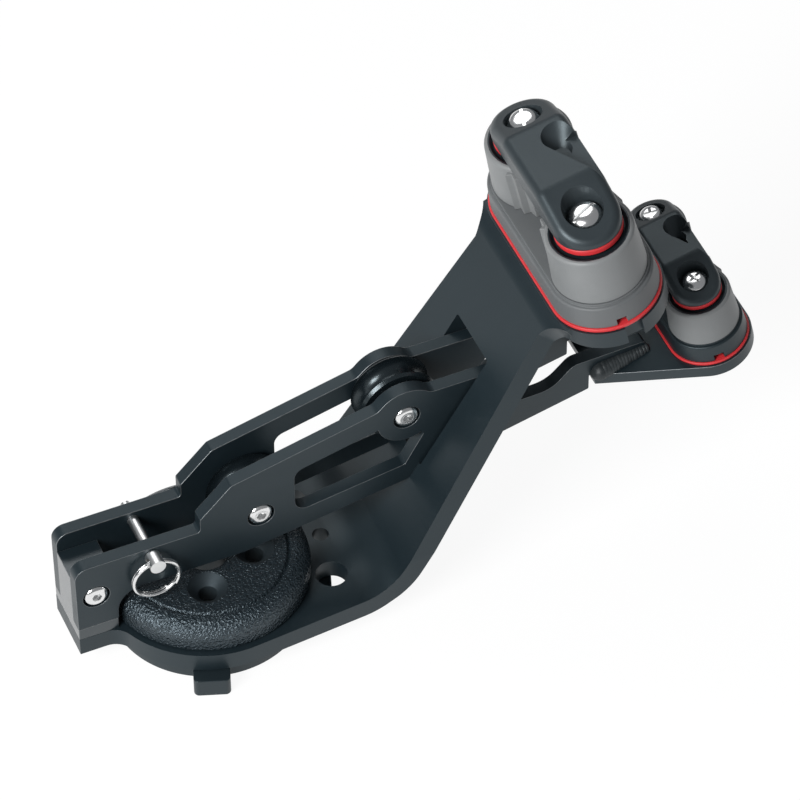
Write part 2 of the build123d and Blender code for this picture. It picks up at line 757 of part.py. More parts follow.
def eye_cut(c):
    """The fairlead eye: a funnel with a straight lip, open towards +X over a bar, and the hole at its bottom."""
    top = cleat_heights(c).cover_top + seat_gap
    wide = Pos(*c.eye_at, top) * Circle(c.eye_radius)
    narrow = Pos(*c.eye_hole_at, top - eye_depth) * Circle(c.eye_hole_radius)
    funnel = loft([narrow, wide])
    x, y = c.eye_at
    out = 2 * c.cover_half_width
    lip_start = (x - 0.9 * c.eye_radius, y - 0.44 * c.eye_radius)
    mouth = Polygon(lip_start, c.lip_end, (out, c.lip_end[1]), (out, y), (x, y), align=None)
    funnel += Pos(0, 0, top - bar_drop) * extrude(mouth, bar_drop, dir=(0, 0, 1))
    round_end = Pos(*c.eye_hole_at) * Circle(c.eye_hole_radius)
    far_end = Pos(c.cover_half_width - eye_bar - 0.6 * c.eye_hole_radius, -c.eye_hole_at[1]) * Circle(
        0.6 * c.eye_hole_radius)
    hole = make_hull(round_end.edges() + far_end.edges())
    return funnel + extrude(hole, top - seat_gap, dir=(0, 0, 1))


def make_cover(c):
    """The cover that bridges both cams, with sunk screw seats and a fairlead eye beside the middle."""
    h = cleat_heights(c)
    cover = cover_blank(c)
    for place in post_places(c):
        cover -= place * Pos(0, 0, h.seat) * Cone(
            c.head_radius + 0.3, c.recess_radius, c.cover_height,
            align=(Align.CENTER, Align.CENTER, Align.MIN))
        cover -= place * Cylinder(c.screw_radius + seat_gap, 4 * h.cover_top)
    return cover - eye_cut(c)


def driver_recess(c):
    """What the screwdriver goes into: a slot right across the head, or a tapered cross in its middle."""
    if c.drive == "slot":
        return Box(2.4 * c.head_radius, 0.2 * c.head_radius, 0.8 * c.head_height)
    wing = Box(1.1 * c.head_radius, 0.24 * c.head_radius, 1.2 * c.head_height)
    return wing + Rot(0, 0, 90) * wing


def make_cleat_screw(c, side, depth):
    """A pan-head screw from the cover's seat down to the underside of the plate."""
    h = cleat_heights(c)
    screw = domed_head(c.head_radius, c.head_height, 0.3 * c.head_radius)
    screw += Cylinder(c.screw_radius, h.seat + depth, align=(Align.CENTER, Align.CENTER, Align.MAX))
    screw -= Pos(0, 0, c.head_height) * Rot(0, 0, slot_turn[side]) * driver_recess(c)
    return Pos(0, sides[side] * c.post_spacing / 2, h.seat) * screw


def cleat_nodes(c, frame, depth):
    nodes = {f"{c.name}_gasket": make_gasket(c), f"{c.name}_base": make_cleat_base(c),
             f"{c.name}_cover": make_cover(c)}
    for name, side in sides.items():
        nodes[f"{c.name}_{name}_post"] = make_post(c, side)
        nodes[f"{c.name}_{name}_spring"] = make_cam_spring(c, side)
        nodes[f"{c.name}_{name}_ring"] = make_cam_ring(c, side)
        nodes[f"{c.name}_{name}_screw"] = make_cleat_screw(c, name, depth)
        nodes[f"{c.name}_{name}_cam"] = make_cam(c, side)
    return {name: frame * shape for name, shape in nodes.items()}


def arm_nodes():
    """All that turns with the arm, with heights from the arm plate's top face."""
    cheek = make_front_cheek()
    weld = make_front_weld()
    nodes = {
        "main_arm": make_main_arm(),
        "end_block": make_end_block(),
        "block_screw": make_block_screw(),
        "front_cheek": cheek,
        "rear_cheek": mirror(cheek, Plane.XZ),
        "lower_plate": make_lower_plate(),
        "front_weld": weld,
        "rear_weld": mirror(weld, Plane.XZ),
        "release_pin": make_release_pin(),
        "split_ring": make_split_ring(),
    }
    for name, place in (("end", end_screw_at), ("axle_1", axle_1_at), ("axle_2", axle_2_at)):
        screw = make_side_screw(place)
        nodes[f"front_{name}_screw"] = screw
        nodes[f"rear_{name}_screw"] = mirror(screw, Plane.XZ)
    for number, place in ((1, axle_1_at), (2, axle_2_at)):
        nodes[f"axle_{number}"] = make_axle(place)
        nodes[f"sheave_{number}_washers"] = make_washers(place)
        nodes[f"sheave_{number}"] = make_sheave(place)
    nodes |= cleat_nodes(upper, upper_plane, plate_thickness)
    nodes |= cleat_nodes(lower, lower_plane, lower_plate_thickness)
    return nodes


def main():
    os.makedirs("parts", exist_ok=True)
    nodes = {"base_flange": make_base_flange(), "base_dome": make_base_dome(), "race_balls": make_race_balls()}
    nodes |= {name: Pos(0, 0, plate_top) * shape for name, shape in arm_nodes().items()}
    for name, shape in nodes.items():
        export_step(shape, f"parts/{name}.step")
        print(f"{name}: {len(shape.solids())} solid(s), {shape.volume:.1f} mm3")


main()
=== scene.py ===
# %% [markdown]
# # Dressing a swivelling cam cleat
# The solids of this deck fitting come from a CAD pack. Blender never moves them: it eases their edges,
# gives each one its finish, and adds the few things that are easier to grow than to machine, such as the
# ripples of a weld. Every object is in metres and sits at the origin, with its place in its mesh.

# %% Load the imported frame
import json
import math

import bmesh
import bpy
from mathutils import Matrix, Vector


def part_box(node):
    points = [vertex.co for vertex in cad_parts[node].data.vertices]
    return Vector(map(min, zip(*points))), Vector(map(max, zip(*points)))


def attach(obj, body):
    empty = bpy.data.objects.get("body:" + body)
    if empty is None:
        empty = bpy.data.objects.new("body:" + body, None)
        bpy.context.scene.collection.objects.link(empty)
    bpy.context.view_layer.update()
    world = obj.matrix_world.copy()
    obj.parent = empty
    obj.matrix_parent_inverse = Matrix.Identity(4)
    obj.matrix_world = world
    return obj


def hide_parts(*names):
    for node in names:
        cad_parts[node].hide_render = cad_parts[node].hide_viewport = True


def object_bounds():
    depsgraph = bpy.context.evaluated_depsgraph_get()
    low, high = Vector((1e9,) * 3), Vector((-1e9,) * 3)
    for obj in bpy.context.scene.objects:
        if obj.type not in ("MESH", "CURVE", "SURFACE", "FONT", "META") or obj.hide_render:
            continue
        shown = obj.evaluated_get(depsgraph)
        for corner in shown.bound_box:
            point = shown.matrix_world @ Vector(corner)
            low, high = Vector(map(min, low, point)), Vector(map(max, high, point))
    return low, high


MM = 0.001
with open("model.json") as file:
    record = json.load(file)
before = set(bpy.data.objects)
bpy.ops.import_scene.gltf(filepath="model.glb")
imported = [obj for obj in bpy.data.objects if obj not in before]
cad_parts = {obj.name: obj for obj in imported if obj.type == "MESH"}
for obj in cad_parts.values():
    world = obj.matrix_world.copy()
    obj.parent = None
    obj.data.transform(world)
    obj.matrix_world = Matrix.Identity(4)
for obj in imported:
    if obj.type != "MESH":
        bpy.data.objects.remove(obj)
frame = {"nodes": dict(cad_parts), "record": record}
cad_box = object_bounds()
body_of = {node: body for body, members in frame["record"]["behaviour"]["bodies"].items() for node in members}
slot_of = {part["node"]: part["material_slot"] for part in frame["record"]["subparts"]}

# %% [markdown]
# ## One way to add a node
# Finishes and grown shapes are both trees of nodes, and every node is added in the same three steps: make
# it, choose its settings, and fill its sockets. A socket takes a plain value or the output of another node,
# and the function tells the two apart, so that the code below can mix them freely.

# %% Add a node to any tree
def add_node(tree, kind, settings=None, values=None):
    """Add a node with its settings; a value that is a socket is linked, and any other is written in."""
    made = tree.nodes.new(kind)
    for name, value in (settings or {}).items():
        setattr(made, name, value)
    for name, value in (values or {}).items():
        if isinstance(value, bpy.types.NodeSocket):
            tree.links.new(value, made.inputs[name])
        else:
            made.inputs[name].default_value = value
    return made


# %% [markdown]
# ## A little language for shaders
# A finish is a graph of nodes. Written as plain assignments it soon becomes unreadable, so one class wraps a
# socket and lets Python's own signs add the Math nodes: `1 - grain * 0.2` is two nodes and their links.
# The reflected forms, such as `__rsub__`, let a number stand on the left.

# %% A socket that can be added and multiplied
class Wire:
    """An output socket whose sums and products are Math nodes."""

    def __init__(self, finish, socket):
        self.finish = finish
        self.socket = socket

    def math(self, operation, *values):
        return self.finish.node("ShaderNodeMath", {"operation": operation}, dict(enumerate(values)))

    def __add__(self, other):
        return self.math("ADD", self, other)

    def __radd__(self, other):
        return self.math("ADD", other, self)

    def __sub__(self, other):
        return self.math("SUBTRACT", self, other)

    def __rsub__(self, other):
        return self.math("SUBTRACT", other, self)

    def __mul__(self, other):
        return self.math("MULTIPLY", self, other)

    def __rmul__(self, other):
        return self.math("MULTIPLY", other, self)

    def __pow__(self, other):
        return self.math("POWER", self, other)


# %% [markdown]
# The second class is the finish itself. Its `node` method adds any node and gives back a wire. The short
# methods below it are the patterns that nearly every finish of this object uses: clouds of a chosen size, a
# colour between two colours, a bump of a chosen depth, and the shader that ends it.

# %% A finish is built node by node
class Finish:
    """A material whose nodes are added one call at a time."""

    def __init__(self, name):
        self.material = bpy.data.materials.new(name)
        self.material.use_nodes = True
        self.tree = self.material.node_tree
        self.tree.nodes.clear()
        self.place = self.node("ShaderNodeTexCoord", output="Object")

    def node(self, kind, settings=None, values=None, output=0):
        sockets = {name: value.socket if isinstance(value, Wire) else value
                   for name, value in (values or {}).items()}
        return Wire(self, add_node(self.tree, kind, settings, sockets).outputs[output])

    def noise(self, size_mm, detail=2.0, roughness=0.5, stretch=(1.0, 1.0, 1.0)):
        """Clouds whose features are about size_mm across, from 0 to 1."""
        place = self.node("ShaderNodeMapping", values={"Vector": self.place, "Scale": stretch})
        return self.node("ShaderNodeTexNoise", values={
            "Vector": place, "Scale": 1.0 / (size_mm * MM), "Detail": detail, "Roughness": roughness})

    def mix(self, factor, first, second):
        """A colour between two colours."""
        return self.node("ShaderNodeMix", {"data_type": "RGBA"},
                         {0: factor, 6: (*first, 1.0), 7: (*second, 1.0)}, output=2)

    def bump(self, height, depth_mm):
        """A normal that follows a height from 0 to 1, as deep as depth_mm."""
        return self.node("ShaderNodeBump", values={"Height": height, "Distance": depth_mm * MM},
                         output="Normal")

    def shade(self, colour, roughness, normal, metallic=0.0, **constants):
        """End the finish in the shader. Constants are set on its own sockets."""
        values = {"Base Color": colour, "Roughness": roughness, "Metallic": metallic, "Normal": normal}
        return self.end_in(self.node("ShaderNodeBsdfPrincipled", values=values | constants))

    def end_in(self, shader):
        """Link a shader to the surface, and give the finished material."""
        add_node(self.tree, "ShaderNodeOutputMaterial", values={"Surface": shader.socket})
        return self.material


# %% [markdown]
# ## Hard black anodising
# The arm, cheeks and block are milled aluminium, bead-blasted and then hard anodised. The surface is a dull
# near-black with a very fine grain. It looks blue-grey where it faces a bright floor and almost black where
# it faces up. The tone drifts a little over a few centimetres, and handling leaves faint rubbed streaks. The
# end block is smoother than the plates and mirrors the floor, so it gets a clear coat on top. The cool tint
# of what these metals reflect is one value, because the black mouldings share it.

# %% The anodised metal
cool = (0.80, 0.94, 1.0)


def anodised_metal(name, dark, light, roughness, coat=0.0):
    finish = Finish(name)
    cloud = finish.noise(22.0, detail=3.0)
    grain = finish.noise(0.35, detail=2.0, roughness=0.6)
    rub = finish.noise(5.0, detail=4.0, roughness=0.65, stretch=(0.25, 1.0, 1.0))
    colour = finish.mix(cloud * 0.7 + grain * 0.3, dark, light)
    sheen = roughness + (cloud - 0.5) * 0.12 + (grain - 0.5) * 0.10 - (rub - 0.5) * 0.10
    return finish.shade(colour, sheen, finish.bump(grain, 0.010), **{
        "Specular IOR Level": 0.5, "Specular Tint": (*cool, 1.0),
        "Coat Weight": coat, "Coat Roughness": 0.25})


black_anodising = anodised_metal("black_anodising", (0.0060, 0.0115, 0.0150), (0.0120, 0.0200, 0.0250), 0.40)
block_anodising = anodised_metal(
    "block_anodising", (0.0070, 0.0125, 0.0160), (0.0130, 0.0210, 0.0260), 0.32, coat=0.75)
print("finishes:", black_anodising.name, block_anodising.name)

# %% [markdown]
# On every sharp corner the coating is thinner and is polished by handling, so the edges read as fine bright
# lines. Their lighter, more metallic colour is partly that real wear and partly a painted highlight, standing
# in for the glints of the lamps on a rounded edge. A bevel modifier can give its new faces a material of
# their own, which puts that colour exactly where it belongs and stays with the mesh from every side.

# %% The rubbed edges, lighter as a painted highlight
def worn_and_highlit_edge(name, dark, light):
    finish = Finish(name)
    wear_and_glint = finish.noise(1.6, detail=4.0, roughness=0.7)
    # The lighter edge colour is partly real wear and partly a painted highlight.
    colour = finish.mix(wear_and_glint, dark, light)
    return finish.shade(colour, 0.30 + 0.18 * wear_and_glint, finish.bump(wear_and_glint, 0.01), metallic=0.85)


edge_wear_and_highlight = worn_and_highlit_edge("worn_and_highlit_edge", (0.075, 0.085, 0.092), (0.30, 0.32, 0.33))
print("finish:", edge_wear_and_highlight.name)

# %% [markdown]
# ## Wrinkled cap
# The domed cap over the ball race carries a coarse wrinkle coat, like the grain of leather. Cells from a
# Voronoi pattern, bent by noise, give ridges that run into one another. Their tops are glossier than the
# valleys, which is what makes the shoulder sparkle. The colour follows the relief too: the ridge tops are
# painted lighter as a highlight, and the valleys and the smooth countersinks painted darker as shade. The
# four countersinks are smooth, so the pattern stops at them. Turning the place and folding it into one
# quadrant finds all four with one distance. Their circle, first angle and radius are those of the CAD.

# %% The wrinkle coat
def screw_seats(finish, circle_mm, first_angle, seat_mm):
    """1 inside the four countersinks and 0 outside them."""
    turned = finish.node("ShaderNodeVectorRotate", {"rotation_type": "Z_AXIS"},
                         {"Vector": finish.place, "Angle": math.radians(-first_angle)})
    folded = finish.node("ShaderNodeVectorMath", {"operation": "ABSOLUTE"}, {0: turned})
    x, y = (finish.node("ShaderNodeSeparateXYZ", values={0: folded}, output=axis) for axis in ("X", "Y"))
    far = x.math("MAXIMUM", x, y) - circle_mm * MM
    near = x.math("MINIMUM", x, y)
    distance = (far ** 2.0 + near ** 2.0) ** 0.5
    return finish.node("ShaderNodeMapRange", values={
        "Value": distance, "From Min": (seat_mm + 0.25) * MM, "From Max": (seat_mm - 0.05) * MM})


def wrinkle_coat():
    finish = Finish("wrinkle_coat")
    cell_mm, bend_mm = 0.72, 1.1
    bend = finish.noise(1.6, detail=2.0)
    push = finish.node("ShaderNodeVectorMath", {"operation": "SCALE"},
                       {0: finish.node("ShaderNodeCombineXYZ", values={0: bend, 1: bend, 2: bend}),
                        "Scale": bend_mm * MM})
    bent = finish.node("ShaderNodeVectorMath", {"operation": "ADD"}, {0: finish.place, 1: push})
    cells = finish.node("ShaderNodeTexVoronoi", {"feature": "SMOOTH_F1"}, {
        "Vector": bent, "Scale": 1.0 / (cell_mm * MM), "Smoothness": 0.25}, output="Distance")
    fine = finish.noise(0.28, detail=3.0, roughness=0.6)
    seats = screw_seats(finish, circle_mm=13.0, first_angle=-20.0, seat_mm=5.3)
    relief = (cells * 0.8 + fine * 0.35) * (1.0 - seats)
    tops = finish.node("ShaderNodeMapRange", values={"Value": relief, "From Min": 0.30, "From Max": 0.70})
    # Painted highlight and shade: lighter colour on the ridge tops, darker in the valleys and countersinks.
    colour = finish.mix(tops, (0.0025, 0.0055, 0.0075), (0.0120, 0.0185, 0.0235))
    return finish.shade(colour, 0.42 - tops * 0.20 + seats * 0.28, finish.bump(relief, 0.42), **{
        "Specular IOR Level": 0.95, "Specular Tint": (0.74, 0.90, 1.0, 1.0)})


wrinkled = wrinkle_coat()
print("finish:", wrinkled.name)

# %% [markdown]
# ## Moulded parts
# The cam covers, the cleats' bases and the flange are glass-filled polymer: dark, satin and faintly mottled,
# with the fine pitting that a spark-eroded mould leaves. The cams are cast and look much the same from a
# metre away. One function makes them all, with two tones for each, because only the colour and the gloss
# differ.

# %% Satin mouldings
neutral = (1.0, 1.0, 1.0)


def moulding(name, dark, light, roughness, grain_mm=0.28, depth_mm=0.02, specular=0.5, tint=neutral):
    finish = Finish(name)
    cloud = finish.noise(9.0, detail=3.0)
    grain = finish.noise(grain_mm, detail=2.0, roughness=0.6)
    colour = finish.mix(cloud * 0.6 + grain * 0.4, dark, light)
    sheen = roughness + (cloud - 0.5) * 0.10 + (grain - 0.5) * 0.14
    return finish.shade(colour, sheen, finish.bump(grain, depth_mm), **{
        "Specular IOR Level": specular, "Specular Tint": (*tint, 1.0)})


cover_black = moulding("cover_black", (0.0185, 0.0250, 0.0290), (0.0350, 0.0425, 0.0470), 0.39, tint=cool)
cam_grey = moulding("cam_grey", (0.160, 0.168, 0.171), (0.235, 0.245, 0.248), 0.46)
base_grey = moulding("base_grey", (0.092, 0.099, 0.103), (0.135, 0.143, 0.147), 0.50)
base_black = moulding("base_black", (0.0075, 0.0130, 0.0165), (0.0140, 0.0210, 0.0250), 0.42, tint=cool)
sheave_black = moulding(
    "sheave_black", (0.0035, 0.0065, 0.0085), (0.0090, 0.0130, 0.0155), 0.27, specular=0.6, tint=cool)
ball_white = moulding("ball_white", (0.62, 0.60, 0.54), (0.74, 0.72, 0.66), 0.35)
for finish in (cover_black, cam_grey, base_grey, base_black, sheave_black, ball_white):
    print("moulding:", finish.name)

# %% [markdown]
# The red gaskets and the red rings under the covers are a soft elastomer. It is moulded too, with a wider and
# shallower grain.

# %% Red elastomer
red_rubber = moulding(
    "red_rubber", (0.52, 0.020, 0.026), (0.70, 0.040, 0.046), 0.42, grain_mm=0.5, depth_mm=0.015)
print("finish:", red_rubber.name)

# %% [markdown]
# ## Polished stainless steel
# The screws, axles, pin and ring are turned stainless steel. Turning leaves rings too fine to see singly,
# which only blur the gloss, so the roughness varies with a short stretched noise. The pin is handled most,
# and is the dullest.

# %% Stainless steel
def stainless_steel(name, blur):
    finish = Finish(name)
    swirl = finish.noise(0.5, detail=3.0, stretch=(1.0, 1.0, 4.0))
    cloud = finish.noise(3.0, detail=2.0)
    colour = finish.mix(cloud, (0.72, 0.73, 0.74), (0.90, 0.90, 0.89))
    return finish.shade(colour, blur + swirl * 0.08, finish.bump(swirl, 0.002), metallic=1.0)


steel = stainless_steel("stainless_steel", 0.17)
satin_steel = stainless_steel("satin_steel", 0.28)
print("finishes:", steel.name, satin_steel.name)

# %% [markdown]
# ## The weld
# The bead was laid before anodising and came out of the bath with the plates. Weld metal takes the dye
# unevenly, so the bead is blotchy: black in places and dull grey in others.

# %% Anodised weld metal
def weld_metal():
    finish = Finish("weld_metal")
    scale = finish.noise(1.2, detail=5.0, roughness=0.7)
    blotch = finish.noise(4.5, detail=3.0)
    colour = finish.mix(scale * 0.4 + blotch * 0.6, (0.0070, 0.0125, 0.0155), (0.066, 0.075, 0.079))
    return finish.shade(colour, 0.44 + (scale - 0.5) * 0.3, finish.bump(scale, 0.08), metallic=0.2)


bead_metal = weld_metal()
print("finish:", bead_metal.name)

# %% [markdown]
# ## Who wears what
# The record gives every node a material slot, and one table turns slots into finishes. A few nodes differ
# from their slot's other members: the large cleat's base is grey like its cams, the small one's is black, the
# end block is coated and the pin is satin.

# %% The table of finishes
finish_of_slot = {
    "anodised_metal": black_anodising, "base_polymer": base_black, "wrinkle_cap": wrinkled,
    "race_ball": ball_white, "stainless": steel, "red_seal": red_rubber, "cover_polymer": cover_black,
    "cam_metal": cam_grey, "sheave_polymer": sheave_black, "weld_bead": bead_metal,
}
finish_of_node = {"upper_base": base_grey, "lower_base": base_black, "end_block": block_anodising,
                  "release_pin": satin_steel}


def finish_for(node):
    return finish_of_node.get(node, finish_of_slot[slot_of[node]])


for node, solid in frame["nodes"].items():
    for material_slot in solid.material_slots:
        material_slot.material = finish_for(node)
print("slots in use:", sorted(set(slot_of.values())))

# %% [markdown]
# ## Eased edges
# A CAD edge is infinitely sharp and catches no light. A real one is tumbled or rubbed to a small radius. The
# solids' own meshes stay as they are, so each of the larger pieces gets a copy: its loose triangles are
# merged, flat areas are dissolved into single faces so that the bevel runs clean, and a Bevel modifier
# rounds what is sharper than its angle. Weighted normals keep the flats flat.

# %% Copy a node and ease its edges
def merged_copy(node, name):
    """A copy of a node's mesh, with doubles merged and flat areas made single faces."""
    mesh = frame["nodes"][node].data.copy()
    mesh.name = name
    work = bmesh.new()
    work.from_mesh(mesh)
    bmesh.ops.remove_doubles(work, verts=work.verts, dist=0.002 * MM)
    bmesh.ops.dissolve_limit(work, angle_limit=math.radians(0.6), verts=work.verts, edges=work.edges)
    for face in work.faces:
        face.smooth = True
    work.to_mesh(mesh)
    work.free()
    return bpy.data.objects.new(name, mesh)


def eased(node, width_mm, segments=2, edge=None):
    """A dressed copy of a node that stands for it, with rounded edges."""
    piece = merged_copy(node, f"{node}_eased")
    bpy.context.scene.collection.objects.link(piece)
    piece.data.materials.clear()
    piece.data.materials.append(finish_for(node))
    bevel = piece.modifiers.new("edge_radius", "BEVEL")
    bevel.width = width_mm * MM
    bevel.segments = segments
    bevel.limit_method = "ANGLE"
    bevel.angle_limit = math.radians(30.0)
    bevel.use_clamp_overlap = True
    if edge is not None:
        piece.data.materials.append(edge)
        bevel.material = 1
    weighted = piece.modifiers.new("flat_faces", "WEIGHTED_NORMAL")
    weighted.keep_sharp = True
    weighted.weight = 80
    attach(piece, body_of[node])
    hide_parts(node)


# %% The milled plates
plates = ["main_arm", "front_cheek", "rear_cheek", "end_block", "lower_plate"]
# Every sharp edge of the plates gets the lighter edge finish: real wear with a painted highlight.
for node in plates:
    eased(node, 0.32, edge=edge_wear_and_highlight)
print("eased plates:", plates)

# %% [markdown]
# The mouldings have larger radii and no rubbed, highlit edge, so their bevels keep the piece's own finish.

# %% The mouldings
mouldings = {
    "base_flange": 0.35,
    "upper_cover": 0.5, "lower_cover": 0.4,
    "upper_front_cam": 0.3, "upper_rear_cam": 0.3, "lower_front_cam": 0.25, "lower_rear_cam": 0.25,
    "upper_base": 0.2, "lower_base": 0.2,
    "upper_gasket": 0.3, "lower_gasket": 0.25,
    "upper_front_ring": 0.3, "upper_rear_ring": 0.3, "lower_front_ring": 0.25, "lower_rear_ring": 0.25,
}
for node, width in mouldings.items():
    eased(node, width, segments=3)
print("eased mouldings:", sorted(mouldings))

# %% [markdown]
# The dish in the top of each cam lies in shade under the red ring, and that shade is painted: the faces of
# the dish take the near-black finish of the small cleat's base. It needs no geometry of its own: the cam's
# turning axis is in the record, the dish is the part of the top that lies inside the rim, and the rim is the
# ring of highest points. Each point is measured twice, along the axis and out from it, so the same lines
# serve a cam at any tilt.

# %% The painted shade in the cams' dishes
def paint_dish_shade(piece, joint, depth_mm, finish):
    """Paint the faces of the dish round a joint's axis, down to depth_mm below the top, with a dark finish as
    shade.
    """
    centre, axis = Vector(joint["pos_m"]), Vector(joint["axis"]).normalized()

    def along_and_out(point):
        along = (point - centre).dot(axis)
        return along, (point - centre - along * axis).length

    spots = [along_and_out(vert.co) for vert in piece.data.vertices]
    top = max(along for along, _ in spots)
    rim = min(out for along, out in spots if along > top - 0.02 * MM)
    piece.data.materials.append(finish)
    shade_painted_faces = 0
    for face in piece.data.polygons:
        along, out = along_and_out(face.center)
        if along > top - depth_mm * MM and out < rim:
            face.material_index = len(piece.data.materials) - 1
            shade_painted_faces += 1
    print(f"{piece.name}: {shade_painted_faces} faces inside a rim of {rim / MM:.1f} mm")


# Painted shade: the dish faces of each cam take the near-black base finish.
for joint in frame["record"]["behaviour"]["joints"]:
    if joint["name"].endswith("cam_turn"):
        paint_dish_shade(bpy.data.objects[f"{joint['child']}_eased"], joint, depth_mm=1.4, finish=base_black)

# %% [markdown]
# ## Things that are grown
# Three things are repeats of something small, and Geometry Nodes is the natural place for them: the balls of
# the race, the ripples of the two welds and the coiled wire of the split ring. The class below is the twin
# of `Finish`. It adds any node in one call and gives the tree named inputs, so each use of it is a few
# numbers on a modifier. The result is turned into a plain mesh before it joins a body, since a piece that
# has to travel should carry no recipe with it.

# %% A tree that grows geometry
class Growth:
    """A Geometry Nodes tree with named numbers as its inputs."""

    def __init__(self, name, **numbers):
        self.tree = bpy.data.node_groups.new(name, "GeometryNodeTree")
        self.identifier = {}
        for label, value in numbers.items():
            kind = "NodeSocketInt" if isinstance(value, int) else "NodeSocketFloat"
            socket = self.tree.interface.new_socket(label, in_out="INPUT", socket_type=kind)
            socket.default_value = value
            self.identifier[label] = socket.identifier
        self.tree.interface.new_socket("Geometry", in_out="OUTPUT", socket_type="NodeSocketGeometry")
        self.given = self.tree.nodes.new("NodeGroupInput").outputs

    def node(self, kind, settings=None, values=None):
        return add_node(self.tree, kind, settings, values).outputs[0]

    def ends_in(self, geometry, material):
        """Give the grown geometry its finish and smooth shading, and hand it to the output."""
        smooth = self.node("GeometryNodeSetShadeSmooth", values={"Geometry": geometry})
        coloured = self.node("GeometryNodeSetMaterial", values={"Geometry": smooth, "Material": material})
        add_node(self.tree, "NodeGroupOutput", values={"Geometry": coloured})

    def grow(self, name, place, **numbers):
        """Run the tree with these numbers; the plain mesh that comes out is moved by the matrix `place`."""
        seed = bpy.data.objects.new(name, bpy.data.meshes.new(name))
        bpy.context.scene.collection.objects.link(seed)
        recipe = seed.modifiers.new("growth", "NODES")
        recipe.node_group = self.tree
        for label, value in numbers.items():
            recipe[self.identifier[label]] = value
        grown = bpy.data.meshes.new_from_object(seed.evaluated_get(bpy.context.evaluated_depsgraph_get()))
        seed.modifiers.remove(recipe)
        grown.transform(place)
        seed.data = grown
        return seed


def stand_in(piece, node):
    """Let a grown piece take a node's place on its body."""
    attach(piece, body_of[node])
    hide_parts(node)
    print(f"{piece.name}: {len(piece.data.polygons)} faces for {node}")


# %% [markdown]
# The balls stand on a circle. Its radius and height are read from the node's own box, and their number is
# how many separate pieces the node's mesh falls into, found by walking from vertex to vertex.

# %% The ball race
def islands(mesh):
    """How many pieces a mesh falls into once its doubles are merged."""
    work = bmesh.new()
    work.from_mesh(mesh)
    bmesh.ops.remove_doubles(work, verts=work.verts, dist=0.002 * MM)
    left = set(work.verts)
    count = 0
    while left:
        count += 1
        front = [left.pop()]
        while front:
            near = [edge.other_vert(vert) for vert in front for edge in vert.link_edges]
            front = [vert for vert in set(near) if vert in left]
            left.difference_update(front)
    work.free()
    return count


race = Growth("ball_race", count=8, pitch_radius=0.02, ball_radius=0.001)
circle = race.node("GeometryNodeMeshCircle", values={
    "Vertices": race.given["count"], "Radius": race.given["pitch_radius"]})
ball = race.node("GeometryNodeMeshUVSphere", values={
    "Segments": 20, "Rings": 12, "Radius": race.given["ball_radius"]})
placed = race.node("GeometryNodeInstanceOnPoints", values={"Points": circle, "Instance": ball})
race.ends_in(race.node("GeometryNodeRealizeInstances", values={"Geometry": placed}), ball_white)

low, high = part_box("race_balls")
ball_radius = (high[2] - low[2]) / 2
balls = race.grow("grown_balls", Matrix.Translation((0, 0, (low[2] + high[2]) / 2)),
                  count=islands(frame["nodes"]["race_balls"].data), pitch_radius=high[0] - ball_radius,
                  ball_radius=ball_radius)
stand_in(balls, "race_balls")

# %% [markdown]
# A hand-laid weld is a row of solidified pools, each lapping over the one before like fallen coins. Flattened
# balls along a line, each a little off in size and lean, give the same ripple. The welder started wide, where
# cheek and plate are thick, and ran out thin, so each pool is scaled by its place in the row.

# %% A bead of pools
bead = Growth("weld_bead", count=8, length=0.01, radius=0.003, seed=1)
line = bead.node("GeometryNodeCurvePrimitiveLine", values={
    "Start": (0.0, 0.0, 0.0),
    "End": bead.node("ShaderNodeCombineXYZ", values={"X": bead.given["length"]})})
row = bead.node("GeometryNodeCurveToPoints", {"mode": "COUNT"}, {"Curve": line, "Count": bead.given["count"]})
pool = bead.node("GeometryNodeMeshUVSphere", values={
    "Segments": 28, "Rings": 18, "Radius": bead.given["radius"]})


def random_vector(least, most):
    """A draw between two vectors for each pool of the bead."""
    return bead.node("FunctionNodeRandomValue", {"data_type": "FLOAT_VECTOR"},
                     {"Min": least, "Max": most, "Seed": bead.given["seed"]})


lean = random_vector((0.0, 0.30, -0.14), (0.0, 0.52, 0.14))
girth = random_vector((0.62, 0.92, 0.90), (0.80, 1.0, 1.0))
order = bead.node("ShaderNodeMath", {"operation": "DIVIDE"}, {
    0: bead.node("GeometryNodeInputIndex"), 1: bead.given["count"]})
start_scale, end_scale = 1.12, 0.50
shrink = bead.node("ShaderNodeMapRange", values={"Value": order, "To Min": start_scale, "To Max": end_scale})
tapered = bead.node("ShaderNodeVectorMath", {"operation": "SCALE"}, {0: girth, "Scale": shrink})
pools = bead.node("GeometryNodeInstanceOnPoints", values={
    "Points": row, "Instance": pool, "Rotation": lean, "Scale": tapered})
bead.ends_in(bead.node("GeometryNodeRealizeInstances", values={"Geometry": pools}), bead_metal)
print("numbers of a bead:", list(bead.identifier))

# %% [markdown]
# The beads lie on the small cleat's plate, which is square to the axis that its cams turn about. That axis
# gives the plate's slope, and each weld's box gives its length, its width and its corner against the cheek.
# What would hang under the plate's face is cut off, and the cut is closed.

# %% The two welds
pool_count = 16
plate_gap = 0.05 * MM
seed_of = {"front_weld": 3, "rear_weld": 8}
plate_normal = Vector(next(joint["axis"] for joint in frame["record"]["behaviour"]["joints"]
                           if joint["name"] == "lower_front_cam_turn")).normalized()
plate_along = Vector((plate_normal.z, 0.0, -plate_normal.x))
turn = Matrix((plate_along, Vector((0, 1, 0)), plate_normal)).transposed().to_4x4()


